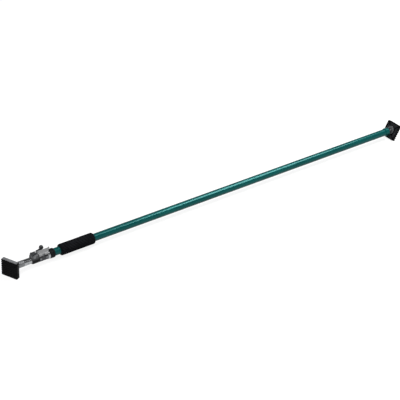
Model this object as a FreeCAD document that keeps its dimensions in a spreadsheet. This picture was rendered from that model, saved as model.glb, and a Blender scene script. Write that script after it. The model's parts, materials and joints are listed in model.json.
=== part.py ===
import FreeCAD, Part
import math
import os
import types

import Sketcher

# A telescopic prop lying closed on the floor. The pole runs along X, the foot and the pump clamp are at -X,
# the head is at +X. Stations are measured along the pole from the sole of the foot when its pad is square.

# Driving dimensions, in millimetres and degrees.
DIMENSIONS = {
    "closed_length": 1900,
    "outer_od": 30.8,
    "outer_wall": 1.5,
    "inner_od": 26,
    "inner_wall": 1.25,
    "inner_length": 1560,
    "run_clear": 0.05,
    "slide_clear": 0.1,
    "cross_pin_radius": 2,
    "cross_pin_inset": 15,
    # pads
    "pad_side": 72,
    "pad_corner": 4.5,
    "pad_thick": 14,
    "pivot_depth": 13,
    "foot_yaw": 27,
    "foot_roll": 3,
    "sole_thick": 5.5,
    "sole_groove_depth": 3,
    "sole_groove_width": 4,
    "sole_groove_count": 7,
    "plate_floor": 3,
    "plate_rim": 3,
    "plate_rib": 3,
    "hub_radius": 20,
    "boss_radius": 11,
    "boss_drop": 1.5,
    "ring_radius": 19,
    "ring_flange": 2,
    "ring_hub_radius": 12,
    "ring_below": 0.5,
    "ring_above": 2,
    "ring_top": 4.5,
    "ring_mouth_radius": 9.6,
    "screw_circle": 16.4,
    "screw_radius": 1.5,
    "screw_length": 6,
    "screw_head_radius": 2.3,
    "screw_head_height": 1.2,
    # ball studs and the fittings that hold them
    "ball_radius": 7.5,
    "ball_clear": 0.1,
    "stud_neck_radius": 3.6,
    "stud_flange_radius": 6.5,
    "stud_flange_thick": 1.5,
    "stud_shank_radius": 4,
    "stud_bearing": 12,
    "stud_tail": 3,
    "clip_groove_radius": 3.2,
    "clip_radius": 6.5,
    "clip_thick": 1,
    "fitting_well_radius": 8,
    "foot_gap": 16,
    "neck_length": 35,
    "spigot_length": 30,
    "spigot_clear": 0.05,
    "fitting_chamfer": 1.5,
    "head_gap": 18.5,
    "cap_radius": 18,
    "cap_wall": 5.5,
    "cap_skirt": 14,
    "cap_round": 2.5,
    # collar, grip and bushes
    "collar_length": 20.5,
    "collar_radius": 19,
    "collar_groove": 0.8,
    "tube_ring_length": 10,
    "tube_ring_radius": 18.2,
    "tube_ring_edge": 1.2,
    "grip_start": 219,
    "grip_length": 149,
    "grip_od": 46.4,
    "grip_round": 5,
    "mouth_sleeve": 22,
    "mouth_flange": 2,
    "tail_guide_length": 124,
    # clamp: nose casting and trough
    "nose_start": 96,
    "nose_length": 25.5,
    "clamp_radius": 16.65,
    "clamp_top": 25.25,
    "nose_round": 16,
    "nose_edge": 5,
    "nose_slot_half": 11,
    "nose_front_wall": 4.5,
    "nose_bush_length": 4.4,
    "nose_bush_wall": 1.5,
    "nose_bush_lip": 1,
    "nose_spigot": 15,
    "trough_gap": 4.5,
    "trough_length": 37,
    "trough_wall": 1.2,
    "trough_rim": 8,
    "trough_overlap": 11,
    "ear_radius": 4,
    "rivet_radius": 2,
    "rivet_height": 2,
    "rivet_head_radius": 3.6,
    "rivet_head_height": 1.2,
    "rear_rivet_inset": 6,
    # lever, cams and release
    "pivot_height": 18.25,
    "lever_pivot": 10,
    "lever_pin_radius": 3,
    "pin_head_radius": 4.5,
    "pin_head_thick": 1.5,
    "cam_shaft_place": 16,
    "cam_shaft_radius": 2.5,
    "cam_gap": 0.35,
    "drive_cam_half": 5.5,
    "drive_cam_throw": 2.5,
    "drive_cam_tail": 26,
    "hold_cam_half": 6.5,
    "hold_lobe_radius": 3.6,
    "hold_lobe_back": 3,
    "lever_half": 18.75,
    "lever_sheet": 1.6,
    "lever_flange": 9.5,
    "lever_front": 27.5,
    "lever_length": 51,
    "lever_near_length": 39,
    "lever_far": 8,
    "lever_tab": 3,
    "lever_tab_width": 6,
    "lever_bend": 4,
    "lever_corner": 2.4,
    "lever_notch_half": 4.7,
    "lever_notch_clear": 4.4,
    "lever_rivet_radius": 1.6,
    "lever_rivet_head": 3,
    "lever_rivet_inset": 5,
    "lever_rivet_side": 3.3,
    "arm_gap": 0.8,
    "arm_thick": 2,
    "arm_length": 14.4,
    "arm_angle": 18,
    "arm_eye_radius": 5,
    "arm_stub_radius": 2.5,
    "arm_stub_length": 7,
    "knob_radius": 8.5,
    "knob_length": 10,
    "knob_dome": 2.5,
    # torsion springs
    "spring_wire": 0.55,
    "spring_turns": 3,
    "spring_pitch": 1.2,
    "spring_gap": 0.6,
}

doc = FreeCAD.newDocument("telescopic_prop")
sheet = doc.addObject("Spreadsheet::Sheet", "Sizes")
for row, (alias, number) in enumerate(DIMENSIONS.items(), start=1):
    sheet.set(f"A{row}", alias)
    sheet.set(f"B{row}", str(number))
    sheet.setAlias(f"B{row}", alias)
doc.recompute()


class Size:
    """A length or angle that keeps its value together with the sheet expression that gives it."""

    def __init__(self, value, text):
        self.value = float(value)
        self.text = text

    def join(self, sign, other, value):
        return Size(value, f"({self.text} {sign} {other.text})")

    def __add__(self, other):
        other = as_size(other)
        return self.join("+", other, self.value + other.value)

    def __sub__(self, other):
        other = as_size(other)
        return self.join("-", other, self.value - other.value)

    def __mul__(self, other):
        other = as_size(other)
        return self.join("*", other, self.value * other.value)

    def __truediv__(self, other):
        other = as_size(other)
        return self.join("/", other, self.value / other.value)

    def __neg__(self):
        return as_size(0) - self


def as_size(number):
    return number if isinstance(number, Size) else Size(number, f"({number})")


def root(size):
    return Size(math.sqrt(size.value), f"sqrt({size.text})")


def sine(angle):
    return Size(math.sin(math.radians(angle.value)), f"sin({angle.text})")


def cosine(angle):
    return Size(math.cos(math.radians(angle.value)), f"cos({angle.text})")


D = types.SimpleNamespace(**{alias: Size(number, f"Sizes.{alias}") for alias, number in DIMENSIONS.items()})
ZERO = as_size(0)
ORIGIN = FreeCAD.Vector(0, 0, 0)
NODES = []

# Plain ratios: the flat on a rivet's dome, the opening of a clip, where a rib starts inside the hub, and how
# much of its full length an edge must have to be picked. The last is how near, in millimetres, counts as the
# same place.
DOME_FLAT = 0.6
CLIP_OPENING = 0.8
RIB_ROOT = 0.8
PICKED = 0.8
MATCH = 0.01

# Places that several pieces share.
pad_half = D.pad_side / 2
axis_height = (pad_half - D.pad_corner) * (cosine(D.foot_roll) + sine(D.foot_roll)) + D.pad_corner
edge_square = pad_half * pad_half + D.pivot_depth * D.pivot_depth
edge_ahead = root(edge_square - axis_height * axis_height)
lean_sine = (D.pivot_depth * axis_height + pad_half * edge_ahead) / edge_square
lean_cosine = (pad_half * axis_height - D.pivot_depth * edge_ahead) / edge_square
foot_ball = D.pivot_depth
head_ball = D.closed_length - D.pivot_depth
foot_reach = D.pivot_depth * cosine(D.foot_yaw) + axis_height * sine(D.foot_yaw)
head_reach = D.pivot_depth * lean_cosine + pad_half * lean_sine
middle = (foot_ball - foot_reach + head_ball + head_reach) / 2
outer_radius = D.outer_od / 2
outer_bore = outer_radius - D.outer_wall
inner_radius = D.inner_od / 2
inner_bore = inner_radius - D.inner_wall
foot_face = foot_ball + D.foot_gap
inner_start = foot_face + D.neck_length
trough_start = D.nose_start + D.nose_length + D.trough_gap
trough_end = trough_start + D.trough_length
mouth = trough_end - D.trough_overlap
nose_rivet = trough_start + (D.nose_spigot - D.trough_gap) / 2
head_face = head_ball - D.head_gap
outer_end = head_face - D.cap_wall
head_pin = outer_end - D.cap_skirt - D.cross_pin_inset
trough_bore = D.clamp_radius - D.trough_wall
cam_height = D.pivot_height - inner_radius - D.cam_gap
web_bottom = D.clamp_top - D.lever_sheet
lever_pivot = D.nose_start + D.lever_pivot
cam_shaft = trough_start + D.cam_shaft_place


def bind(thing, field, size):
    thing.setExpression(field, as_size(size).text)


def place(thing, station, y=ZERO, height=ZERO, rotation=None):
    """Put a piece at a station of the pole, y across and height above the axis."""
    thing.Placement = FreeCAD.Placement(ORIGIN, rotation or FreeCAD.Rotation())
    bind(thing, "Placement.Base.x", station - middle)
    bind(thing, "Placement.Base.y", y)
    bind(thing, "Placement.Base.z", axis_height + height)


def new_body(label):
    body = doc.addObject("PartDesign::Body", label)
    body.Label = label
    return body


def node(thing, label):
    thing.Label = label
    NODES.append(thing)
    return thing


def sketch_on(body, role, offset=None):
    sketch = body.newObject("Sketcher::SketchObject", f"{body.Name}_sketch")
    plane = next(item for item in body.Origin.OriginFeatures if item.Role == role)
    sketch.AttachmentSupport = [(plane, "")]
    sketch.MapMode = "FlatFace"
    if offset is not None:
        bind(sketch, "AttachmentOffset.Base.z", offset)
    return sketch


def constrain(sketch, kind, geometry, position, size, name):
    if size.text == ZERO.text:
        axis = -2 if kind == "DistanceX" else -1
        sketch.addConstraint(Sketcher.Constraint("PointOnObject", geometry, position, axis))
        return
    index = sketch.addConstraint(Sketcher.Constraint(kind, geometry, position, size.value))
    sketch.renameConstraint(index, name)
    bind(sketch, f"Constraints.{name}", size)


def set_radius(sketch, geometry, radius):
    index = sketch.addConstraint(Sketcher.Constraint("Radius", geometry, radius.value))
    sketch.renameConstraint(index, f"radius_{geometry}")
    bind(sketch, f"Constraints.radius_{geometry}", radius)


def polar_angle(vector):
    return math.atan2(vector.y, vector.x) % (2 * math.pi)


def draw(sketch, corners, arcs=None):
    """Draw a closed outline. An arc replaces the side that leaves the corner it is listed under."""
    arcs = arcs or {}
    corners = [(as_size(x), as_size(y)) for x, y in corners]
    points = [FreeCAD.Vector(x.value, y.value, 0) for x, y in corners]
    first = sketch.GeometryCount
    starts = []
    for index, begin in enumerate(points):
        end = points[(index + 1) % len(points)]
        if index in arcs:
            centre_x, centre_y, turn = arcs[index]
            centre = FreeCAD.Vector(as_size(centre_x).value, as_size(centre_y).value, 0)
            low, high = (begin, end) if turn > 0 else (end, begin)
            low_angle = polar_angle(low - centre)
            high_angle = polar_angle(high - centre)
            if high_angle <= low_angle:
                high_angle += 2 * math.pi
            circle = Part.Circle(centre, FreeCAD.Vector(0, 0, 1), (begin - centre).Length)
            sketch.addGeometry(Part.ArcOfCircle(circle, low_angle, high_angle), False)
            starts.append(1 if turn > 0 else 2)
        else:
            sketch.addGeometry(Part.LineSegment(begin, end), False)
            starts.append(1)
    for index, start in enumerate(starts):
        after = (index + 1) % len(starts)
        ends = (first + index, 3 - start, first + after, starts[after])
        sketch.addConstraint(Sketcher.Constraint("Coincident", *ends))
    for index, (x, y) in enumerate(corners):
        geometry = first + index
        constrain(sketch, "DistanceX", geometry, starts[index], x, f"corner_{geometry}_x")
        constrain(sketch, "DistanceY", geometry, starts[index], y, f"corner_{geometry}_y")
    for index, (centre_x, centre_y, _) in arcs.items():
        chord = points[(index + 1) % len(points)] - points[index]
        geometry = first + index
        if abs(chord.x) > abs(chord.y):
            constrain(sketch, "DistanceY", geometry, 3, as_size(centre_y), f"arc_{geometry}_y")
        else:
            constrain(sketch, "DistanceX", geometry, 3, as_size(centre_x), f"arc_{geometry}_x")


def draw_circle(sketch, x, y, radius):
    x, y, radius = as_size(x), as_size(y), as_size(radius)
    circle = Part.Circle(FreeCAD.Vector(x.value, y.value, 0), FreeCAD.Vector(0, 0, 1), radius.value)
    geometry = sketch.addGeometry(circle, False)
    constrain(sketch, "DistanceX", geometry, 3, x, f"centre_{geometry}_x")
    constrain(sketch, "DistanceY", geometry, 3, y, f"centre_{geometry}_y")
    set_radius(sketch, geometry, radius)


def box_outline(x0, y0, x1, y1):
    return [(x0, y0), (x1, y0), (x1, y1), (x0, y1)]


def extrude(body, kind, sketch, length=None, symmetric=False, reverse=False):
    """Pad or pocket a sketch. A pocket with no length goes right through."""
    feature = body.newObject(f"PartDesign::{kind}", f"{body.Name}_{kind.lower()}")
    feature.Profile = sketch
    if symmetric:
        feature.SideType = "Symmetric"
    feature.Reversed = reverse
    if length is None:
        feature.Type = "ThroughAll"
    else:
        bind(feature, "Length", length)
    return feature


def revolve(body, sketch, axis="H_Axis"):
    feature = body.newObject("PartDesign::Revolution", f"{body.Name}_revolution")
    feature.Profile = sketch
    feature.ReferenceAxis = (sketch, [axis])
    feature.Angle = 360
    return feature


def dress(body, kind, size, chosen):
    """Round or chamfer the edges of the body that a test on their middle and direction picks."""
    doc.recompute()
    base = body.Tip
    names = []
    for index, edge in enumerate(base.Shape.Edges, start=1):
        centre = edge.BoundBox.Center
        if chosen(edge, centre):
            names.append(f"Edge{index}")
    feature = body.newObject(f"PartDesign::{kind}", f"{body.Name}_{kind.lower()}")
    feature.Base = (base, names)
    bind(feature, "Radius" if kind == "Fillet" else "Size", size)
    doc.recompute()
    return feature


def near(value, size):
    return abs(value - size.value) < MATCH


def turned(label, corners, arcs=None):
    """A body of revolution about the pole's axis, drawn as stations and radii."""
    body = new_body(label)
    sketch = sketch_on(body, "XZ_Plane")
    draw(sketch, corners, arcs)
    revolve(body, sketch)
    return node(body, label)


def tube_outline(length, bore, radius):
    return box_outline(ZERO, bore, length, radius)


def drill_across(body, holes):
    """Drill holes along Y, each given as station, height and radius in the body's own frame."""
    sketch = sketch_on(body, "XZ_Plane")
    for station, height, radius in holes:
        draw_circle(sketch, station, height, radius)
    extrude(body, "Pocket", sketch, symmetric=True)


def turned_pin(name, length, radius, head_radius=None, head_height=None):
    """A pin or rivet along local X, with a low domed head behind its start where one is asked for."""
    body = new_body(name)
    sketch = sketch_on(body, "XZ_Plane")
    if head_radius is None:
        draw(sketch, box_outline(ZERO, ZERO, length, radius))
    else:
        rim = head_height / 3
        draw(sketch, [(-head_height, ZERO), (length, ZERO), (length, radius), (ZERO, radius),
                      (ZERO, head_radius), (-rim, head_radius), (-head_height, head_radius * DOME_FLAT)])
    revolve(body, sketch)
    return body


def group(label, things):
    compound = doc.addObject("Part::Compound", label)
    compound.Links = things
    return node(compound, label)


ALONG_Y = FreeCAD.Rotation(FreeCAD.Vector(0, 0, 1), 90)
AGAINST_Y = FreeCAD.Rotation(FreeCAD.Vector(0, 0, 1), -90)
FACING_BACK = FreeCAD.Rotation(FreeCAD.Vector(0, 0, 1), 180)


# Pole tubes, with the holes of the rivets and cross pins that hold their fittings.
def make_tubes():
    outer = turned("outer_tube", tube_outline(outer_end - mouth, outer_bore, outer_radius))
    rivet_station = trough_end - D.rear_rivet_inset - mouth
    drill_across(outer, [(rivet_station, D.rivet_height, D.rivet_radius),
                         (head_pin - mouth, ZERO, D.cross_pin_radius)])
    place(outer, mouth)
    inner = turned("inner_tube", tube_outline(D.inner_length, inner_bore, inner_radius))
    drill_across(inner, [(D.cross_pin_inset, ZERO, D.cross_pin_radius)])
    place(inner, inner_start)


# Fittings at the two ends: the plug in the inner tube and the flared cap on the outer one.
def make_fittings():
    bearing_bore = D.stud_shank_radius + D.run_clear
    whole = D.neck_length + D.spigot_length
    spigot = inner_bore - D.spigot_clear
    plug = turned("foot_plug", [
        (ZERO, bearing_bore), (D.stud_bearing, bearing_bore), (D.stud_bearing, D.fitting_well_radius),
        (whole, D.fitting_well_radius), (whole, spigot), (D.neck_length, spigot),
        (D.neck_length, inner_radius), (D.fitting_chamfer, inner_radius),
        (ZERO, inner_radius - D.fitting_chamfer)])
    drill_across(plug, [(D.neck_length + D.cross_pin_inset, ZERO, D.cross_pin_radius)])
    place(plug, foot_face)

    plug_bore = outer_bore - D.spigot_clear
    skirt = D.cap_wall + D.cap_skirt
    round_centre = (D.cap_round, D.cap_radius - D.cap_round)
    cap = turned("head_cap", [
        (ZERO, bearing_bore), (D.stud_bearing, bearing_bore), (D.stud_bearing, D.fitting_well_radius),
        (skirt + D.spigot_length, D.fitting_well_radius), (skirt + D.spigot_length, plug_bore),
        (D.cap_wall, plug_bore), (D.cap_wall, outer_radius), (skirt, outer_radius),
        (skirt, outer_radius + (D.cap_radius - outer_radius) / 3), (skirt - D.cap_round, D.cap_radius),
        (D.cap_round, D.cap_radius), (ZERO, D.cap_radius - D.cap_round)],
        {10: (*round_centre, 1)})
    drill_across(cap, [(head_face - head_pin, ZERO, D.cross_pin_radius)])
    place(cap, head_face, rotation=FACING_BACK)

    pins = (("foot_plug_pin", inner_start + D.cross_pin_inset, inner_radius),
            ("head_cap_pin", head_pin, outer_radius))
    for label, station, half in pins:
        pin = node(turned_pin(label, half * 2, D.cross_pin_radius), label)
        place(pin, station, -half, rotation=ALONG_Y)


# Ball stud: ball, neck, a flange that bears on the fitting, and a shank held by an open clip.
def make_stud(end, ball_station, gap, rotation):
    neck_start = root(D.ball_radius * D.ball_radius - D.stud_neck_radius * D.stud_neck_radius)
    flange = gap - D.run_clear
    groove = gap + D.stud_bearing + D.run_clear
    tail = groove + D.clip_thick
    stud = turned(f"{end}_ball_stud", [
        (-D.ball_radius, ZERO), (neck_start, D.stud_neck_radius),
        (flange - D.stud_flange_thick, D.stud_neck_radius),
        (flange - D.stud_flange_thick, D.stud_flange_radius), (flange, D.stud_flange_radius),
        (flange, D.stud_shank_radius), (groove, D.stud_shank_radius), (groove, D.clip_groove_radius),
        (tail, D.clip_groove_radius), (tail, D.stud_shank_radius),
        (tail + D.stud_tail, D.stud_shank_radius),
        (tail + D.stud_tail, ZERO)],
        {0: (ZERO, ZERO, -1)})
    place(stud, ball_station, rotation=rotation)
    clip = turned(f"{end}_stud_clip", tube_outline(D.clip_thick, D.clip_groove_radius, D.clip_radius))
    opening = sketch_on(clip, "YZ_Plane")
    half = D.clip_groove_radius * CLIP_OPENING
    draw(opening, box_outline(-half, ZERO, half, D.clip_radius * 2))
    extrude(clip, "Pocket", opening, D.clip_thick * 3, symmetric=True)
    way = -1 if rotation is FACING_BACK else 1
    place(clip, ball_station + groove * way, rotation=rotation)


# Pad: ribbed rubber sole, moulded plate open at the back with ribs to its corners, and the socket ring.
# Each is drawn about the ball's centre with Z towards the sole.
def rounded_square(body, side, low, height):
    sketch = sketch_on(body, "XY_Plane", low)
    half = side / 2
    draw(sketch, box_outline(-half, -half, half, half))
    extrude(body, "Pad", sketch, height)
    dress(body, "Fillet", D.pad_corner, lambda edge, centre: edge.BoundBox.ZLength > height.value * PICKED)


def polar_copies(body, original, count):
    doc.recompute()
    pattern = body.newObject("PartDesign::PolarPattern", f"{body.Name}_pattern")
    pattern.Originals = [original]
    axis = next(item for item in body.Origin.OriginFeatures if item.Role == "Z_Axis")
    pattern.Axis = (axis, [""])
    pattern.Angle = 360
    pattern.Occurrences = count
    body.Tip = pattern
    return pattern


SCREWS_PER_PAD = 4
DIAGONAL = math.sqrt(0.5)


def make_sole(end):
    sole = node(new_body(f"{end}_sole"), f"{end}_sole")
    base = D.pivot_depth - D.sole_thick
    rounded_square(sole, D.pad_side, base, D.sole_thick)
    well = sketch_on(sole, "XY_Plane", base)
    draw_circle(well, ZERO, ZERO, D.boss_radius + D.run_clear)
    extrude(sole, "Pocket", well, D.boss_drop, reverse=True)
    pitch = D.pad_side / (D.sole_groove_count + 1)
    cut = sketch_on(sole, "YZ_Plane")
    start = pitch - pad_half
    draw(cut, box_outline(start - D.sole_groove_width / 2, D.pivot_depth - D.sole_groove_depth,
                          start + D.sole_groove_width / 2, D.pivot_depth + D.sole_groove_depth))
    groove = extrude(sole, "Pocket", cut, symmetric=True)
    doc.recompute()
    pattern = sole.newObject("PartDesign::LinearPattern", f"{end}_sole_pattern")
    pattern.Originals = [groove]
    axis = next(item for item in sole.Origin.OriginFeatures if item.Role == "Y_Axis")
    pattern.Direction = (axis, [""])
    bind(pattern, "Length", pitch * (D.sole_groove_count - 1))
    bind(pattern, "Occurrences", D.sole_groove_count)
    sole.Tip = pattern
    return sole


def make_plate(end):
    plate = node(new_body(f"{end}_plate"), f"{end}_plate")
    front = D.pivot_depth - D.sole_thick
    back = D.pivot_depth - D.pad_thick
    rounded_square(plate, D.pad_side, back, front - back)
    inside = D.pad_side / 2 - D.plate_rim
    hollow = sketch_on(plate, "XY_Plane", back)
    draw(hollow, box_outline(-inside, -inside, inside, inside))
    extrude(plate, "Pocket", hollow, front - back - D.plate_floor, reverse=True)
    hub = sketch_on(plate, "XY_Plane", back)
    draw_circle(hub, ZERO, ZERO, D.hub_radius)
    extrude(plate, "Pad", hub, front - back)
    boss = sketch_on(plate, "XY_Plane", front)
    draw_circle(boss, ZERO, ZERO, D.boss_radius)
    extrude(plate, "Pad", boss, D.boss_drop)
    rib = sketch_on(plate, "XY_Plane", back + D.plate_rib / 2)
    inner = D.hub_radius * RIB_ROOT * DIAGONAL
    outer = inside - D.plate_rim / 4
    side = D.plate_rib / 2 * DIAGONAL
    draw(rib, [(inner + side, inner - side), (outer + side, outer - side),
               (outer - side, outer + side), (inner - side, inner + side)])
    spoke = extrude(plate, "Pad", rib, front - back - D.plate_floor / 2 - D.plate_rib / 2)
    polar_copies(plate, spoke, SCREWS_PER_PAD)
    doc.recompute()
    seat = sketch_on(plate, "XY_Plane", back)
    draw_circle(seat, ZERO, ZERO, D.ring_hub_radius + D.run_clear)
    extrude(plate, "Pocket", seat, D.ring_below - back, reverse=True)
    socket = plate.newObject("PartDesign::SubtractiveSphere", f"{end}_socket")
    bind(socket, "Radius", D.ball_radius + D.ball_clear)
    pilot = sketch_on(plate, "XY_Plane", back)
    draw_circle(pilot, D.screw_circle, ZERO, D.screw_radius)
    hole = extrude(plate, "Pocket", pilot, D.screw_length - D.ring_flange, reverse=True)
    polar_copies(plate, hole, SCREWS_PER_PAD)
    return plate


def make_ring(end):
    ring = node(new_body(f"{end}_socket_ring"), f"{end}_socket_ring")
    back = D.pivot_depth - D.pad_thick
    socket = D.ball_radius + D.ball_clear
    deep = root(socket * socket - D.ring_below * D.ring_below)
    lip = root(socket * socket - D.ring_above * D.ring_above)
    sketch = sketch_on(ring, "XZ_Plane")
    draw(sketch, [
        (deep, D.ring_below), (lip, -D.ring_above), (D.ring_mouth_radius, -D.ring_top),
        (D.ring_hub_radius, -D.ring_top), (D.ring_hub_radius + D.ring_flange, back - D.ring_flange),
        (D.ring_radius, back - D.ring_flange), (D.ring_radius, back), (D.ring_hub_radius, back),
        (D.ring_hub_radius, D.ring_below)],
        {0: (ZERO, ZERO, -1)})
    revolve(ring, sketch, "V_Axis")
    pilot = sketch_on(ring, "XY_Plane", back - D.ring_flange * 2)
    draw_circle(pilot, D.screw_circle, ZERO, D.screw_radius)
    hole = extrude(ring, "Pocket", pilot, D.ring_flange * 3, reverse=True)
    polar_copies(ring, hole, SCREWS_PER_PAD)
    return ring


def make_screws(end):
    screws = []
    back = D.pivot_depth - D.pad_thick
    for index in range(SCREWS_PER_PAD):
        screw = turned_pin(f"{end}_screw_{index}", D.screw_length, D.screw_radius,
                           D.screw_head_radius, D.screw_head_height)
        turn = index * 2 * math.pi / SCREWS_PER_PAD
        towards_sole = FreeCAD.Rotation(FreeCAD.Vector(0, 1, 0), -90)
        screw.Placement = FreeCAD.Placement(ORIGIN, towards_sole)
        bind(screw, "Placement.Base.x", D.screw_circle * round(math.cos(turn)))
        bind(screw, "Placement.Base.y", D.screw_circle * round(math.sin(turn)))
        bind(screw, "Placement.Base.z", back - D.ring_flange)
        screws.append(screw)
    return group(f"{end}_screws", screws)


def make_pad(end, ball_station, across, upward, outward):
    rotation = FreeCAD.Rotation(across, upward, outward, "ZYX")
    for piece in (make_sole(end), make_plate(end), make_ring(end), make_screws(end)):
        place(piece, ball_station, rotation=rotation)


# Bright ring, collar and foam grip on the outer tube, and the bushes that guide the inner one.
def make_sleeves():
    edge = D.tube_ring_edge
    ring = turned("tube_ring", [
        (ZERO, outer_radius), (D.tube_ring_length, outer_radius),
        (D.tube_ring_length, D.tube_ring_radius - edge),
        (D.tube_ring_length - edge, D.tube_ring_radius), (edge, D.tube_ring_radius),
        (ZERO, D.tube_ring_radius - edge)])
    place(ring, trough_end)

    groove = D.collar_groove
    step = D.collar_length / 6
    rim = D.collar_radius - groove
    collar = turned("end_collar", [
        (ZERO, outer_radius), (D.collar_length, outer_radius), (D.collar_length, rim - groove),
        (D.collar_length - groove, rim), (step * 5, D.collar_radius), (step * 4, D.collar_radius),
        (step * 4, rim), (step * 3, rim), (step * 3, D.collar_radius), (groove, D.collar_radius),
        (ZERO, rim)])
    place(collar, trough_end + D.tube_ring_length)

    grip_radius = D.grip_od / 2
    shoulder = grip_radius - D.grip_round
    grip = turned("foam_grip", [
        (ZERO, outer_radius), (D.grip_length, outer_radius), (D.grip_length, shoulder),
        (D.grip_length - D.grip_round, grip_radius), (D.grip_round, grip_radius), (ZERO, shoulder)],
        {2: (D.grip_length - D.grip_round, shoulder, 1),
         4: (D.grip_round, shoulder, 1)})
    place(grip, D.grip_start)

    bush_bore = inner_radius + D.slide_clear
    mouth_bush = turned("mouth_bush", [
        (-D.mouth_flange, bush_bore), (D.mouth_sleeve, bush_bore),
        (D.mouth_sleeve, outer_bore - D.run_clear),
        (ZERO, outer_bore - D.run_clear), (ZERO, outer_radius - D.run_clear),
        (-D.mouth_flange, outer_radius - D.run_clear)])
    place(mouth_bush, mouth)

    bush_radius = bush_bore + D.nose_bush_wall
    nose_bush = turned("nose_bush", tube_outline(D.nose_bush_length, bush_bore, bush_radius))
    place(nose_bush, D.nose_start - D.nose_bush_lip)

    tail_guide = turned("tail_guide", tube_outline(D.tail_guide_length, inner_radius,
                                                   outer_bore - D.slide_clear))
    place(tail_guide, inner_start + D.inner_length - D.tail_guide_length)


# Nose casting: a rounded block round the inner tube, slotted for the drive cam, with a spigot behind.
def make_nose():
    nose = node(new_body("nose_block"), "nose_block")
    section = sketch_on(nose, "YZ_Plane")
    half = D.clamp_radius
    draw(section, [(half, ZERO), (half, D.clamp_top), (-half, D.clamp_top), (-half, ZERO)],
         {3: (ZERO, ZERO, 1)})
    extrude(nose, "Pad", section, D.nose_length)
    dress(nose, "Fillet", D.nose_round, lambda edge, centre: near(centre.x, ZERO)
          and near(centre.z, D.clamp_top))
    dress(nose, "Fillet", D.nose_edge, lambda edge, centre: edge.BoundBox.XLength > D.nose_edge.value
          and near(abs(centre.y), half) and centre.z > D.pivot_height.value)
    bush_radius = inner_radius + D.slide_clear + D.nose_bush_wall
    spigot_bore = inner_radius + D.cam_gap * 2
    spigot_radius = trough_bore - D.run_clear
    spigot = sketch_on(nose, "YZ_Plane", D.nose_length)
    draw(spigot, [(spigot_radius, ZERO), (spigot_radius, D.trough_rim), (-spigot_radius, D.trough_rim),
                  (-spigot_radius, ZERO)], {3: (ZERO, ZERO, 1)})
    extrude(nose, "Pad", spigot, D.nose_spigot)
    bore = sketch_on(nose, "YZ_Plane")
    draw_circle(bore, ZERO, ZERO, spigot_bore)
    extrude(nose, "Pocket", bore, reverse=True)
    seat = sketch_on(nose, "YZ_Plane")
    draw_circle(seat, ZERO, ZERO, bush_radius)
    extrude(nose, "Pocket", seat, D.nose_bush_length - D.nose_bush_lip, reverse=True)
    slot = sketch_on(nose, "XZ_Plane")
    draw(slot, box_outline(D.nose_front_wall, inner_radius / 2, D.nose_length + D.nose_spigot * 2,
                           D.clamp_top * 2))
    extrude(nose, "Pocket", slot, D.nose_slot_half * 2, symmetric=True)
    throat = sketch_on(nose, "XZ_Plane")
    draw(throat, box_outline(D.nose_length, inner_radius / 2, D.nose_length + D.nose_spigot * 2,
                             D.clamp_top * 2))
    extrude(nose, "Pocket", throat, spigot_bore * 2, symmetric=True)
    drill_across(nose, [(D.lever_pivot, D.pivot_height, D.lever_pin_radius),
                        (nose_rivet - D.nose_start, D.rivet_height, D.rivet_radius)])
    place(nose, D.nose_start)


# Trough: a bent steel channel from the nose to the outer tube; its near ear and far cheek hold the cam shaft.
def make_trough():
    trough = node(new_body("clamp_trough"), "clamp_trough")
    ear_top = D.pivot_height + D.ear_radius
    section = sketch_on(trough, "YZ_Plane")
    draw(section, [
        (D.clamp_radius, ZERO), (D.clamp_radius, D.clamp_top), (trough_bore, D.clamp_top),
        (trough_bore, ZERO),
        (-trough_bore, ZERO), (-trough_bore, ear_top), (-D.clamp_radius, ear_top), (-D.clamp_radius, ZERO)],
        {3: (ZERO, ZERO, -1), 7: (ZERO, ZERO, 1)})
    extrude(trough, "Pad", section, D.trough_length)
    low = D.cam_shaft_place - D.ear_radius
    high = D.cam_shaft_place + D.ear_radius
    behind = sketch_on(trough, "XZ_Plane")
    draw(behind, box_outline(high, D.trough_rim, D.trough_length + D.ear_radius, ear_top * 2))
    extrude(trough, "Pocket", behind, symmetric=True)
    ahead = sketch_on(trough, "XZ_Plane")
    draw(ahead, box_outline(-D.ear_radius, D.trough_rim, low, ear_top * 2))
    extrude(trough, "Pocket", ahead, D.clamp_radius * 2, reverse=True)
    dress(trough, "Fillet", D.ear_radius - D.run_clear, lambda edge, centre: (near(centre.z, ear_top)
          or near(centre.z, D.clamp_top)) and edge.BoundBox.YLength > D.trough_wall.value * PICKED)
    drill_across(trough, [
        (D.cam_shaft_place, D.pivot_height, D.cam_shaft_radius + D.run_clear),
        (nose_rivet - trough_start, D.rivet_height, D.rivet_radius),
        (D.trough_length - D.rear_rivet_inset, D.rivet_height, D.rivet_radius)])
    place(trough, trough_start)


def make_rivets():
    spigot_depth = D.clamp_radius - inner_radius - D.cam_gap * 2
    tube_depth = D.clamp_radius - outer_bore
    groups = (("nose_rivets", nose_rivet, spigot_depth),
              ("tube_rivets", trough_end - D.rear_rivet_inset, tube_depth))
    for label, station, depth in groups:
        rivets = []
        for side, rotation in ((-1, ALONG_Y), (1, AGAINST_Y)):
            rivet = turned_pin(f"{label}_{side}", depth, D.rivet_radius, D.rivet_head_radius,
                               D.rivet_head_height)
            place(rivet, station, D.clamp_radius * side, D.rivet_height, rotation)
            rivets.append(rivet)
        group(label, rivets)


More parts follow.
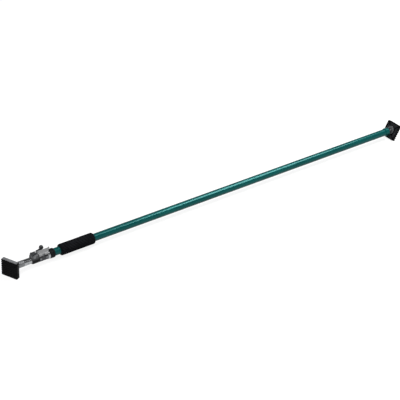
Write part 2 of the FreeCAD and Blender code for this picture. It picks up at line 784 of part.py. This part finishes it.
# Pump lever: a bent plate riveted to the drive cam, which turns on a pin in the nose.
def make_lever():
    plate = node(new_body("lever_plate"), "lever_plate")
    half = D.lever_half
    inside = half - D.lever_sheet
    foot = D.clamp_top - D.lever_flange
    section = sketch_on(plate, "YZ_Plane")
    bend_y = D.lever_bend - half
    bend_z = D.clamp_top - D.lever_bend
    draw(section, [(D.lever_far, web_bottom), (D.lever_far, D.clamp_top), (bend_y, D.clamp_top),
                   (-half, bend_z), (-half, foot), (-inside, foot), (-inside, bend_z), (bend_y, web_bottom)],
         {2: (bend_y, bend_z, 1), 6: (bend_y, bend_z, -1)})
    extrude(plate, "Pad", section, D.lever_length)
    end = D.lever_length
    rear = sketch_on(plate, "XY_Plane")
    square = D.lever_far - D.lever_tab_width
    draw(rear, [(D.lever_near_length, -half), (end * 2, -half), (end * 2, square), (end, square)])
    extrude(plate, "Pocket", rear, D.clamp_top * 2, reverse=True)
    dress(plate, "Fillet", D.lever_corner, lambda edge, centre: near(centre.z, foot)
          and edge.BoundBox.YLength > D.lever_sheet.value * PICKED
          and edge.BoundBox.XLength < D.lever_sheet.value)
    turn_up = D.lever_corner
    tab = sketch_on(plate, "XZ_Plane", -D.lever_far)
    tip = end + turn_up + D.lever_sheet
    draw(tab, [
        (end, web_bottom), (tip, web_bottom + turn_up + D.lever_sheet),
        (tip, D.clamp_top + D.lever_tab), (tip - D.lever_sheet, D.clamp_top + D.lever_tab),
        (tip - D.lever_sheet, D.clamp_top + turn_up), (end, D.clamp_top)],
        {0: (end, D.clamp_top + turn_up, 1),
         4: (end, D.clamp_top + turn_up, -1)})
    extrude(plate, "Pad", tab, D.lever_tab_width)
    notch = sketch_on(plate, "XZ_Plane")
    shaft = cam_shaft - D.nose_start - D.lever_front
    draw(notch, box_outline(shaft - D.lever_notch_half, foot - D.lever_sheet, shaft + D.lever_notch_half,
                            D.pivot_height + D.lever_notch_clear))
    extrude(plate, "Pocket", notch, symmetric=True)
    rivets = sketch_on(plate, "XY_Plane", web_bottom - D.lever_sheet)
    rivet_sides = (-D.lever_rivet_side, D.lever_rivet_side)
    for side in rivet_sides:
        draw_circle(rivets, D.lever_rivet_inset, side, D.lever_rivet_radius)
    extrude(plate, "Pocket", rivets, D.lever_sheet * 3, reverse=True)
    lever_start = D.nose_start + D.lever_front
    place(plate, lever_start)

    cam = node(new_body("drive_cam"), "drive_cam")
    hub = sketch_on(cam, "XZ_Plane")
    draw_circle(hub, ZERO, ZERO, cam_height)
    extrude(cam, "Pad", hub, D.drive_cam_half * 2, symmetric=True)
    toe = sketch_on(cam, "XZ_Plane")
    draw_circle(toe, D.drive_cam_throw, ZERO, cam_height)
    extrude(cam, "Pad", toe, D.drive_cam_half * 2, symmetric=True)
    tail = sketch_on(cam, "XZ_Plane")
    top = web_bottom - D.pivot_height
    draw(tail, [(ZERO, -cam_height / 2), (D.drive_cam_tail, top / 2), (D.drive_cam_tail, top), (ZERO, top),
                (-cam_height * DIAGONAL, cam_height * DIAGONAL)])
    extrude(cam, "Pad", tail, D.drive_cam_half * 2, symmetric=True)
    drill_across(cam, [(ZERO, ZERO, D.lever_pin_radius + D.run_clear)])
    sockets = sketch_on(cam, "XY_Plane", top)
    rivet_station = lever_start + D.lever_rivet_inset
    for side in rivet_sides:
        draw_circle(sockets, rivet_station - lever_pivot, side, D.lever_rivet_radius)
    extrude(cam, "Pocket", sockets, D.lever_sheet * 2)
    place(cam, lever_pivot, height=D.pivot_height)

    heads = []
    down = FreeCAD.Rotation(FreeCAD.Vector(0, 1, 0), 90)
    for index, side in enumerate(rivet_sides):
        rivet = turned_pin(f"lever_rivet_{index}", D.lever_sheet * 3, D.lever_rivet_radius,
                           D.lever_rivet_head, D.rivet_head_height)
        place(rivet, rivet_station, side, D.clamp_top, down)
        heads.append(rivet)
    group("lever_rivets", heads)

    reach = D.clamp_radius * 2 + D.pin_head_thick * 2
    pin = turned_pin("lever_pin", reach, D.lever_pin_radius, D.pin_head_radius, D.pin_head_thick)
    node(pin, "lever_pin")
    place(pin, lever_pivot, -D.clamp_radius, D.pivot_height, ALONG_Y)
    clip = turned("lever_pin_clip", tube_outline(D.clip_thick, D.lever_pin_radius, D.pin_head_radius))
    place(clip, lever_pivot, D.clamp_radius, D.pivot_height, ALONG_Y)


# Holding cam on its shaft, with the release arm and thumb knob outside the lever on the far side.
def make_release():
    cam = node(new_body("holding_cam"), "holding_cam")
    lobe_drop = cam_height - D.hold_lobe_radius
    discs = ((ZERO, ZERO, cam_height), (-D.hold_lobe_back, -lobe_drop, D.hold_lobe_radius))
    for back, rise, radius in discs:
        disc = sketch_on(cam, "XZ_Plane")
        draw_circle(disc, back, rise, radius)
        extrude(cam, "Pad", disc, D.hold_cam_half * 2, symmetric=True)
    drill_across(cam, [(ZERO, ZERO, D.cam_shaft_radius)])
    place(cam, cam_shaft, height=D.pivot_height)

    arm_face = D.lever_half + D.arm_gap
    reach = D.clamp_radius + D.slide_clear + arm_face + D.arm_thick
    shaft = turned_pin("cam_shaft", reach, D.cam_shaft_radius, D.rivet_head_radius, D.rivet_head_height)
    node(shaft, "cam_shaft")
    place(shaft, cam_shaft, -(D.clamp_radius + D.slide_clear), D.pivot_height, ALONG_Y)

    arm = node(new_body("release_arm"), "release_arm")
    face = sketch_on(arm, "XZ_Plane")
    eye = D.arm_eye_radius
    draw(face, [(ZERO, eye), (ZERO, -eye), (D.arm_length, -eye), (D.arm_length, eye)],
         {0: (ZERO, ZERO, 1), 2: (D.arm_length, ZERO, 1)})
    extrude(arm, "Pad", face, D.arm_thick, reverse=True)
    stub = sketch_on(arm, "XZ_Plane")
    draw_circle(stub, D.arm_length, ZERO, D.arm_stub_radius)
    extrude(arm, "Pad", stub, D.arm_thick + D.arm_stub_length, reverse=True)
    drill_across(arm, [(ZERO, ZERO, D.cam_shaft_radius)])
    tilt = FreeCAD.Rotation(FreeCAD.Vector(0, 1, 0), -D.arm_angle.value)
    place(arm, cam_shaft, arm_face, D.pivot_height, tilt)

    dome = D.knob_radius - D.knob_dome
    step = D.knob_length / 4
    waist = D.knob_radius - D.knob_dome / 3
    knob = turned("release_knob", [
        (ZERO, D.arm_stub_radius), (D.arm_stub_length, D.arm_stub_radius), (D.arm_stub_length, ZERO),
        (D.knob_length, ZERO), (D.knob_length, dome), (D.knob_length - D.knob_dome, D.knob_radius),
        (step * 2, D.knob_radius), (step, waist), (ZERO, waist)],
        {4: (D.knob_length - D.knob_dome, dome, 1)})
    knob_station = cam_shaft + D.arm_length * cosine(D.arm_angle)
    knob_height = D.pivot_height + D.arm_length * sine(D.arm_angle)
    place(knob, knob_station, arm_face + D.arm_thick, knob_height, ALONG_Y)


# Torsion springs of square wire: one on the lever's pin, one on the cam shaft, each beside its cam.
def make_spring(label, station, start, shaft_radius):
    coil_radius = shaft_radius + D.spring_gap + D.spring_wire
    turn = FreeCAD.Rotation(FreeCAD.Vector(1, 0, 0), -90)
    helix = doc.addObject("Part::Helix", f"{label}_path")
    bind(helix, "Radius", coil_radius)
    bind(helix, "Pitch", D.spring_pitch)
    bind(helix, "Height", D.spring_pitch * D.spring_turns)
    place(helix, station, start, D.pivot_height, turn)
    wire = doc.addObject("Part::RegularPolygon", f"{label}_wire")
    wire.Polygon = 4
    bind(wire, "Circumradius", D.spring_wire / DIAGONAL)
    place(wire, station + coil_radius, start, D.pivot_height, FreeCAD.Rotation(FreeCAD.Vector(0, 0, 1), 45))
    doc.recompute()
    sweep = doc.addObject("Part::Sweep", label)
    sweep.Sections = [wire]
    sweep.Spine = (helix, ["Edge1"])
    sweep.Solid = True
    sweep.Frenet = True
    node(sweep, label)


make_tubes()
make_fittings()
make_stud("foot", foot_ball, D.foot_gap, FreeCAD.Rotation())
make_stud("head", head_ball, D.head_gap, FACING_BACK)
yaw_sine = sine(D.foot_yaw).value
yaw_cosine = cosine(D.foot_yaw).value
roll_sine = sine(D.foot_roll).value
roll_cosine = cosine(D.foot_roll).value
make_pad("foot", foot_ball,
         FreeCAD.Vector(yaw_sine * roll_cosine, -yaw_cosine * roll_cosine, -roll_sine),
         FreeCAD.Vector(yaw_sine * roll_sine, -yaw_cosine * roll_sine, roll_cosine),
         FreeCAD.Vector(-yaw_cosine, -yaw_sine, 0))
make_pad("head", head_ball, FreeCAD.Vector(0, 1, 0), FreeCAD.Vector(lean_sine.value, 0, lean_cosine.value),
         FreeCAD.Vector(lean_cosine.value, 0, -lean_sine.value))
make_sleeves()
make_nose()
make_trough()
make_rivets()
make_lever()
make_release()
make_spring("lever_spring", lever_pivot, D.drive_cam_half + D.spring_wire * 2, D.lever_pin_radius)
make_spring("cam_spring", cam_shaft, D.hold_cam_half + D.spring_wire * 2, D.cam_shaft_radius)
doc.recompute()

# Every object has to be sound before any file is written.
for thing in doc.Objects:
    if "Invalid" in thing.State or "Error" in thing.State:
        raise RuntimeError(f"{thing.Label} failed: {thing.State}")
for thing in NODES:
    if thing.Shape.isNull() or not thing.Shape.isValid() or not thing.Shape.Solids:
        raise RuntimeError(f"{thing.Label} has no sound solid")

os.makedirs("parts", exist_ok=True)
for thing in NODES:
    thing.Shape.exportStep(f"parts/{thing.Label}.step")
    print(thing.Label, len(thing.Shape.Solids), round(thing.Shape.Volume))
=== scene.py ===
import json
import math

import bmesh
import bpy
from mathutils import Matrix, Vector, noise


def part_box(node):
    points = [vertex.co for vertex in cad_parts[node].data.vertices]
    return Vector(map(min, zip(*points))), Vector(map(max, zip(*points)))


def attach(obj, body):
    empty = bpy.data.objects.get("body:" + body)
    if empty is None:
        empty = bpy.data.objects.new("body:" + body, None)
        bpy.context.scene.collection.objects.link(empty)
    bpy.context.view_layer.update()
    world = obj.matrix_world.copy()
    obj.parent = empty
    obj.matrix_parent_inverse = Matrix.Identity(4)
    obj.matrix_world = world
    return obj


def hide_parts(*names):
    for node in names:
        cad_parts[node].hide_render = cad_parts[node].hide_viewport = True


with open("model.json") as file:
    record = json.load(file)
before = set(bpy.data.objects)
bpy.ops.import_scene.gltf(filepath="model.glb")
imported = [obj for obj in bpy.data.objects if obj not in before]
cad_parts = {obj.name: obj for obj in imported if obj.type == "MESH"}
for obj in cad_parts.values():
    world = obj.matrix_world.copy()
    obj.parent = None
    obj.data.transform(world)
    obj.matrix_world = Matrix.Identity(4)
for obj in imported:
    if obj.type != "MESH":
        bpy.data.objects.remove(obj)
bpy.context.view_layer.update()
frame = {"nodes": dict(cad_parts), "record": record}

nodes = frame["nodes"]


def linear(hex_text):
    """sRGB hex to a linear colour with alpha."""
    parts = [int(hex_text[i:i + 2], 16) / 255 for i in (1, 3, 5)]
    return [p / 12.92 if p <= 0.04045 else ((p + 0.055) / 1.055) ** 2.4 for p in parts] + [1.0]


def per_metre(size_mm):
    """Pattern scale that gives one repeat in so many millimetres of object space."""
    return 1000.0 / size_mm


def add(tree, kind, inputs=None, **settings):
    """Add one shader node with its settings; an input is a value or the output socket that feeds it."""
    new = tree.nodes.new(kind)
    for name, value in settings.items():
        setattr(new, name, value)
    for name, value in (inputs or {}).items():
        if isinstance(value, bpy.types.NodeSocket):
            tree.links.new(value, new.inputs[name])
        else:
            new.inputs[name].default_value = value
    return new


def cleared(block):
    """The node tree of a material or a world, emptied."""
    block.use_nodes = True
    block.node_tree.nodes.clear()
    return block.node_tree


def new_material(name):
    """A material, its node tree and the place on the piece that its patterns follow."""
    material = bpy.data.materials.new(name)
    tree = cleared(material)
    place = add(tree, "ShaderNodeTexCoord").outputs["Object"]
    return material, tree, place


def close(tree, shader_inputs):
    """End a material with one surface shader."""
    shader = add(tree, "ShaderNodeBsdfPrincipled", shader_inputs)
    add(tree, "ShaderNodeOutputMaterial", {"Surface": shader.outputs["BSDF"]})


def stops(node, *pairs):
    """Set a colour ramp's stops from (place, colour) pairs."""
    ramp = node.color_ramp
    while len(ramp.elements) < len(pairs):
        ramp.elements.new(0.5)
    for element, (position, colour) in zip(ramp.elements, pairs):
        element.position = position
        element.color = colour


def patches(tree, place, size_mm, detail):
    """Cloudy pattern, with patches of about so many millimetres."""
    inputs = {"Vector": place, "Scale": per_metre(size_mm), "Detail": detail}
    return add(tree, "ShaderNodeTexNoise", inputs).outputs["Fac"]


def lines_along(tree, place, along_mm, across_mm, detail):
    """Cloudy pattern drawn out into lines along X, the way the pole lies."""
    scale = (per_metre(along_mm), per_metre(across_mm), per_metre(across_mm))
    stretch = add(tree, "ShaderNodeMapping", {"Vector": place, "Scale": scale}).outputs["Vector"]
    return add(tree, "ShaderNodeTexNoise", {"Vector": stretch, "Scale": 1.0, "Detail": detail}).outputs["Fac"]


def cells(tree, place, size_mm):
    """Pattern of cells of about so many millimetres, lowest in the middle of each."""
    inputs = {"Vector": place, "Scale": per_metre(size_mm)}
    return add(tree, "ShaderNodeTexVoronoi", inputs).outputs["Distance"]


def two_tone(tree, pattern, dark, light):
    """Colour that follows a pattern; dark and light each give a level of the pattern and its hex colour."""
    tint = add(tree, "ShaderNodeValToRGB", {"Fac": pattern})
    stops(tint, *[(level, linear(hex_text)) for level, hex_text in (dark, light)])
    return tint.outputs["Color"]


def spread(tree, value, start=(0.0, 1.0), to=(0.0, 1.0)):
    """A value brought from the start range to another, and held inside it."""
    inputs = {"Value": value, "From Min": start[0], "From Max": start[1], "To Min": to[0], "To Max": to[1]}
    return add(tree, "ShaderNodeMapRange", inputs).outputs["Result"]


def dents(tree, height, strength, depth):
    """Normals of a surface that a pattern dents by so many metres."""
    inputs = {"Height": height, "Strength": strength, "Distance": depth}
    return add(tree, "ShaderNodeBump", inputs).outputs["Normal"]


def combine(tree, operation, first, second):
    """Result of one operation on two values."""
    return add(tree, "ShaderNodeMath", {0: first, 1: second}, operation=operation).outputs[0]


def coat(tree, share, below, above):
    """Colour below, covered by so large a share of the colour above."""
    inputs = {"Factor": share, "A": below, "B": above}
    return add(tree, "ShaderNodeMix", inputs, data_type="RGBA").outputs["Result"]


def part_of(tree, vector, axis):
    """The X, Y or Z part of a vector."""
    return add(tree, "ShaderNodeSeparateXYZ", {"Vector": vector}).outputs[axis]


def reach_along(tree, vector, way):
    """How far a vector reaches along a direction."""
    inputs = {0: vector, 1: way}
    return add(tree, "ShaderNodeVectorMath", inputs, operation="DOT_PRODUCT").outputs["Value"]


# Baked enamel on steel tube: deep teal with a little metal flake, so the lamp streak along the pole is a
# bright teal and not white, and a faint orange peel. Where the tube goes into the clamp it was masked, so
# bare oiled steel shows, and the enamel starts just under the end collar.
def baked_enamel():
    material, tree, place = new_material("teal_baked_enamel")
    cloud = patches(tree, place, size_mm=90, detail=3.0)
    teal = two_tone(tree, cloud, (0.3, "#034a49"), (0.7, "#055351"))
    under_collar = 0.002
    paint_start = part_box("end_collar")[0][0] + under_collar
    painted = combine(tree, "GREATER_THAN", part_of(tree, place, "X"), paint_start)
    # Orange peel is about 1 mm; drawn at 5 mm so that it shows in the render.
    peel = patches(tree, place, size_mm=5, detail=2.0)
    close(tree, {"Base Color": coat(tree, painted, linear("#2b2c2e"), teal),
                 "Roughness": spread(tree, cloud, to=(0.18, 0.25)),
                 "Normal": dents(tree, peel, strength=0.05, depth=0.001),
                 "Metallic": 0.25, "IOR": 1.5, "Specular IOR Level": 0.15})
    return material


# Bright zinc plate on drawn tube: a clear but greyish mirror, with faint lines along the tube from drawing.
def zinc_plate():
    material, tree, place = new_material("bright_zinc_plated_steel")
    # Drawing lines are a few hundredths of a millimetre; drawn at 2 mm across and 200 mm along.
    lines = lines_along(tree, place, along_mm=200, across_mm=2, detail=4.0)
    close(tree, {"Base Color": two_tone(tree, lines, (0.3, "#949698"), (0.7, "#a6a8aa")),
                 "Roughness": spread(tree, lines, to=(0.06, 0.13)), "Metallic": 1.0})
    return material


# Painted shade on the lower part of the clamp's nose: nearly black up to just above the pole's
# axis, gone 15 mm above it.
def painted_shade_below(tree, place, tint):
    low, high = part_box("outer_tube")
    axis = (low[2] + high[2]) / 2
    shade_top, unshaded_from = 0.003, 0.015
    unshaded = spread(tree, part_of(tree, place, "Z"), start=(axis + shade_top, axis + unshaded_from))
    return coat(tree, unshaded, linear("#0e0e0f"), tint)


# Die-cast zinc, tumbled bare or lacquered: dull grey with a cloudy skin and fine pits.
def cast_zinc(name, dark, light, metallic, shade_below=False):
    material, tree, place = new_material(name)
    cloud = patches(tree, place, size_mm=14, detail=5.0)
    tint = two_tone(tree, cloud, (0.3, dark), (0.72, light))
    # Pits are about 0.3 mm; drawn at 1.6 mm so that they show.
    pits = cells(tree, place, size_mm=1.6)
    # The lower part can be painted darker as shade.
    close(tree, {"Base Color": painted_shade_below(tree, place, tint) if shade_below else tint,
                 "Roughness": spread(tree, cloud, to=(0.42, 0.58)),
                 "Normal": dents(tree, pits, strength=0.15, depth=0.0004),
                 "Metallic": metallic, "Specular IOR Level": 0.1})
    return material


# Steel sheet or bar: grey with rolling lines along it and a satin shine. A lacquer or a passivated coat dulls
# the metal, so its share comes down.
def rolled_steel(name, dark, light, roughness, metallic=1.0):
    material, tree, place = new_material(name)
    # Rolling lines are about 0.1 mm; drawn at 1 mm across and 40 mm along.
    lines = lines_along(tree, place, along_mm=40, across_mm=1, detail=3.0)
    close(tree, {"Base Color": two_tone(tree, lines, (0.3, dark), (0.7, light)),
                 "Roughness": spread(tree, lines, to=roughness),
                 "Normal": dents(tree, lines, strength=0.1, depth=0.0003),
                 "Metallic": metallic, "Specular IOR Level": 0.3})
    return material


# Painted light on a black pad's upper edge, where light falls from above: the pale band along the top of
# the near pad. The pad leans a little, so the edge is taken as the upward faces within 6 mm of its top.
# Upward faces in the grooves of the sole get a trace of the painted light.
def painted_top_light(tree, place, tint):
    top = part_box("foot_plate")[1][2]
    # Depth below the top, in metres, where the painted light ends and where it is full.
    light_ends, light_full = 0.0065, 0.0055
    in_grooves = 0.08
    # Upward part of the normal where the painted light begins and where it is full.
    sloping, level = 0.85, 0.98
    normal = add(tree, "ShaderNodeTexCoord").outputs["Normal"]
    upward = spread(tree, part_of(tree, normal, "Z"), start=(sloping, level))
    height = part_of(tree, place, "Z")
    edge = spread(tree, height, start=(top - light_ends, top - light_full), to=(in_grooves, 1.0))
    lit_band = combine(tree, "MULTIPLY", upward, edge)
    patchy = spread(tree, patches(tree, place, size_mm=9, detail=3.0), start=(0.3, 0.7), to=(0.55, 1.0))
    return coat(tree, combine(tree, "MULTIPLY", lit_band, patchy), tint, linear("#78797b"))


# The hollow back of the far pad: its floor is painted paler than the rim and the ribs round it.
# Both depths are measured from the face of the sole.
def paler_hollow_floor(tree, place, tint):
    sole = next(row for row in frame["record"]["mounts"] if row["name"] == "head_sole_face")
    outward = Vector(sole["axis"])
    face = outward.dot(Vector(sole["pos_m"]))
    rib_tops, hollow_floor = 0.0115, 0.0095
    facing_back = 0.7
    sunk = spread(tree, reach_along(tree, place, outward), start=(face - rib_tops, face - hollow_floor))
    normal = add(tree, "ShaderNodeTexCoord").outputs["Normal"]
    flat = combine(tree, "GREATER_THAN", reach_along(tree, normal, -outward), facing_back)
    return coat(tree, combine(tree, "MULTIPLY", sunk, flat), tint, linear("#2e2f32"))


# Moulded nylon: matt from the spark-eroded mould, with slightly paler rubbed patches.
def moulded_nylon(name, dark, light, shine=0.25, tone_overlay=None):
    material, tree, place = new_material(name)
    rubbed = patches(tree, place, size_mm=25, detail=4.0)
    tint = two_tone(tree, rubbed, (0.35, dark), (0.75, light))
    # The eroded grain is about 0.15 mm; drawn at 1.2 mm.
    grain = patches(tree, place, size_mm=1.2, detail=2.0)
    close(tree, {"Base Color": tone_overlay(tree, place, tint) if tone_overlay else tint,
                 "Roughness": spread(tree, rubbed, to=(0.45, 0.6)),
                 "Normal": dents(tree, grain, strength=0.2, depth=0.0003),
                 "IOR": 1.53, "Specular IOR Level": shine})
    return material


# Moulded rubber: deep matt black with a little grey bloom.
def moulded_rubber(name, tone_overlay=None):
    material, tree, place = new_material(name)
    bloom = patches(tree, place, size_mm=18, detail=6.0)
    tint = two_tone(tree, bloom, (0.4, "#080809"), (0.8, "#0e0e0f"))
    grain = patches(tree, place, size_mm=2, detail=3.0)
    close(tree, {"Base Color": tone_overlay(tree, place, tint) if tone_overlay else tint, "Roughness": 0.72,
                 "Normal": dents(tree, grain, strength=0.2, depth=0.0005),
                 "IOR": 1.52, "Specular IOR Level": 0.05})
    return material


FLUTES = 26


# Closed-cell nitrile foam: soot black, rubbed a little grey on the ridges between its flutes, with the cut
# cells as fine pits and no clear highlight.
def nitrile_foam():
    material, tree, place = new_material("black_nitrile_foam")
    worn = two_tone(tree, patches(tree, place, size_mm=40, detail=4.0), (0.3, "#16171a"), (0.75, "#222327"))
    low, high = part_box("foam_grip")
    rise = combine(tree, "SUBTRACT", part_of(tree, place, "Z"), (low[2] + high[2]) / 2)
    turn = combine(tree, "ARCTAN2", rise, part_of(tree, place, "Y"))
    wave = combine(tree, "MULTIPLY", turn, FLUTES)
    ridge = add(tree, "ShaderNodeMath", {0: wave}, operation="COSINE").outputs[0]
    in_flute, on_ridge = -0.6, 0.9
    rubbed = spread(tree, ridge, start=(in_flute, on_ridge))
    # Cells are about 0.5 mm; drawn at 2.5 mm so that they show.
    cut_cells = cells(tree, place, size_mm=2.5)
    close(tree, {"Base Color": coat(tree, rubbed, linear("#050506"), worn), "Roughness": 0.85,
                 "Normal": dents(tree, cut_cells, strength=0.35, depth=0.0006),
                 "IOR": 1.45, "Specular IOR Level": 0.03})
    return material


FINISHES = {
    "teal_paint": baked_enamel(),
    "bright_plate": zinc_plate(),
    "cast_zinc": cast_zinc("die_cast_zinc", "#707274", "#88898b", metallic=1.0),
    "grey_sheet": rolled_steel("passivated_zinc_sheet", "#8c8d8e", "#9b9c9d", (0.42, 0.52), metallic=0.45),
    "zinc_steel": rolled_steel("zinc_plated_steel", "#6c6e70", "#828486", (0.34, 0.46)),
    "hard_steel": rolled_steel("hardened_steel", "#57595c", "#6d6f72", (0.36, 0.5)),
    "black_plastic": moulded_nylon("black_moulded_nylon", "#0b0c0e", "#121316", shine=0.08),
    "grey_plastic": moulded_nylon("grey_moulded_nylon", "#3e4042", "#4a4c4e"),
    "bush_plastic": moulded_nylon("dark_acetal", "#38393b", "#434446"),
    "black_rubber": moulded_rubber("black_moulded_rubber"),
    "black_foam": nitrile_foam(),
}
# Pieces whose coat differs from the rest of their slot: the greased studs, the lacquered clamp, whose nose
# has painted shade on its lower part, the knob, the near pad with painted light along its top, and the far
# pad.
GREASED = rolled_steel("greased_plated_steel", "#48494b", "#595a5c", (0.42, 0.52))
COATED = {
    "foot_ball_stud": GREASED,
    "head_ball_stud": GREASED,
    "nose_block": cast_zinc("dark_lacquered_zinc", "#57585a", "#646567", metallic=0.0, shade_below=True),
    "clamp_trough": rolled_steel("dark_lacquered_sheet", "#37383c", "#424347", (0.45, 0.55), metallic=0.0),
    "release_knob": moulded_nylon("dark_grey_nylon", "#343537", "#404143", shine=0.6),
    "foot_plate": moulded_nylon("black_nylon_painted_top_light", "#0b0c0e", "#121316", shine=0.08, tone_overlay=painted_top_light),
    "foot_sole": moulded_rubber("black_rubber_painted_top_light", tone_overlay=painted_top_light),
    "head_plate": moulded_nylon("black_nylon_paler_inside", "#050607", "#0a0b0d", shine=0.04,
                                tone_overlay=paler_hollow_floor),
}
for row in frame["record"]["subparts"]:
    mesh = nodes[row["node"]].data
    mesh.materials.clear()
    mesh.materials.append(COATED.get(row["node"], FINISHES[row["material_slot"]]))


def in_scene(name, data):
    """A new object of the scene that shows this data."""
    new = bpy.data.objects.new(name, data)
    bpy.context.scene.collection.objects.link(new)
    return new


# Foam grip: a thick sleeve pushed on the tube, a little uneven, with shallow flutes along it and rolled ends.
# The unevenness and the flutes only take foam away, so the outside stays within the solid that it replaces.
def foam_grip():
    low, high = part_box("foam_grip")
    length = high[0] - low[0]
    radius = (high[1] - low[1]) / 2
    slack = 0.0001
    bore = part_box("outer_tube")[1][1] + slack
    roll, roll_steps = 0.006, 8
    flute_depth, flute_sharpness = 0.0007, 3
    uneven, uneven_mm = 0.0004, 45
    rings, sides_per_flute = 72, 8
    around = FLUTES * sides_per_flute
    end = []
    for step in range(roll_steps + 1):
        turn = math.pi / 2 * step / roll_steps
        end.append((roll * (1 - math.cos(turn)), radius - roll + roll * math.sin(turn)))
    straight = rings - 2 * len(end)
    middle = [(roll + (length - 2 * roll) * i / (straight + 1), radius) for i in range(1, straight + 1)]
    other_end = [(length - x, r) for x, r in reversed(end)]
    profile = [(0.0, bore), *end, *middle, *other_end, (length, bore)]
    centre = Vector((low[0], (low[1] + high[1]) / 2, (low[2] + high[2]) / 2))
    shape = bmesh.new()
    loops = []
    for x, r in profile:
        loop = []
        for side in range(around):
            turn = 2 * math.pi * side / around
            way = Vector((0.0, math.cos(turn), math.sin(turn)))
            point = centre + Vector((x, 0.0, 0.0)) + way * r
            swell = noise.noise(point * per_metre(uneven_mm)) * uneven - uneven
            swell -= flute_depth * (0.5 - 0.5 * math.cos(turn * FLUTES)) ** flute_sharpness
            if r > bore:
                point += way * swell
            loop.append(shape.verts.new(point))
        loops.append(loop)
    for first, second in zip(loops, loops[1:] + loops[:1]):
        for side in range(around):
            after = (side + 1) % around
            shape.faces.new((first[side], first[after], second[after], second[side]))
    bmesh.ops.recalc_face_normals(shape, faces=shape.faces)
    mesh = bpy.data.meshes.new("foam_sleeve")
    shape.to_mesh(mesh)
    shape.free()
    for face in mesh.polygons:
        face.use_smooth = True
    grip = in_scene("foam_sleeve", mesh)
    mesh.materials.append(FINISHES["black_foam"])
    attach(grip, "outer")
    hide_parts("foam_grip")


foam_grip()


# Floor: pale and plain. It shows white to the camera and to bright metal, and keeps a soft shadow.
def floor():
    reach = 40.0
    grey, glow_level = 0.22, 0.86
    mesh = bpy.data.meshes.new("floor")
    corners = [(-reach, -reach, 0), (reach, -reach, 0), (reach, reach, 0), (-reach, reach, 0)]
    mesh.from_pydata(corners, [], [(0, 1, 2, 3)])
    plane = in_scene("floor", mesh)
    material = bpy.data.materials.new("white_floor")
    tree = cleared(material)
    rays = add(tree, "ShaderNodeLightPath").outputs
    seen = combine(tree, "MAXIMUM", rays["Is Camera Ray"], rays["Is Glossy Ray"])
    shown = combine(tree, "MAXIMUM", seen, rays["Is Transmission Ray"])
    strength = combine(tree, "MULTIPLY", shown, glow_level)
    paint = add(tree, "ShaderNodeBsdfDiffuse", {"Color": (grey, grey, grey, 1.0)})
    glow = add(tree, "ShaderNodeEmission", {"Color": (1.0, 1.0, 1.0, 1.0), "Strength": strength})
    both = add(tree, "ShaderNodeAddShader", {0: paint.outputs["BSDF"], 1: glow.outputs["Emission"]})
    add(tree, "ShaderNodeOutputMaterial", {"Surface": both.outputs["Shader"]})
    mesh.materials.append(material)


# Studio room: white at the horizon and dim overhead, so that the bright tube has a darker upper side.
# Each pair is the sine of the height above the horizon and the light level there.
STUDIO_LEVELS = ((0.12, 1.0), (0.3, 0.38), (0.6, 0.25), (0.85, 0.14))


def studio():
    world = bpy.data.worlds.new("studio")
    bpy.context.scene.world = world
    tree = cleared(world)
    way = add(tree, "ShaderNodeTexCoord").outputs["Generated"]
    shade = add(tree, "ShaderNodeValToRGB", {"Fac": part_of(tree, way, "Z")})
    stops(shade, *[(sine, (level, level, level, 1.0)) for sine, level in STUDIO_LEVELS])
    sky = add(tree, "ShaderNodeBackground", {"Color": shade.outputs["Color"], "Strength": 1.0})
    add(tree, "ShaderNodeOutputWorld", {"Surface": sky.outputs["Background"]})


def soft_lamp(name, position, target, size, power):
    """Rectangular lamp that points at a target; the size is across the pole and along it."""
    lamp = bpy.data.lights.new(name, "AREA")
    lamp.shape = "RECTANGLE"
    lamp.size, lamp.size_y = size
    lamp.energy = power
    holder = in_scene(name, lamp)
    holder.location = position
    holder.rotation_euler = (Vector(target) - Vector(position)).to_track_quat("-Z", "Y").to_euler()


# Camera at the photograph's angle, fitted to the tube's line and the pads' corners.
def camera():
    azimuth, elevation = math.radians(-34.41), math.radians(31.96)
    target = Vector((-0.0817, 0.0, 0.0337))
    distance = 5.44
    away = Vector((math.sin(azimuth) * math.cos(elevation), -math.cos(azimuth) * math.cos(elevation),
                   math.sin(elevation)))
    data = bpy.data.cameras.new("camera")
    data.lens = 121.0
    data.sensor_width = 36.0
    holder = in_scene("camera", data)
    holder.location = target + away * distance
    holder.rotation_euler = (-away).to_track_quat("-Z", "Y").to_euler()
    bpy.context.scene.camera = holder


floor()
studio()
# The tube mirrors the overhead lamp to the camera as a streak, and the weaker fill lamp carries it on towards
# the grip, but not to the bright inner tube. The side lamp stands where no tube mirrors it.
soft_lamp("overhead_lamp", position=(1.92, -0.35, 3.0), target=(1.0, 0.0, 0.0), size=(2.2, 1.24), power=126.0)
soft_lamp("fill_lamp", position=(1.06, -0.35, 3.0), target=(0.4, 0.0, 0.0), size=(2.2, 0.55), power=15.0)
soft_lamp("side_lamp", position=(-2.6, -1.4, 2.8), target=(-0.3, 0.0, 0.0), size=(1.8, 1.8), power=70.0)
camera()
bpy.context.scene.view_settings.view_transform = "Standard"
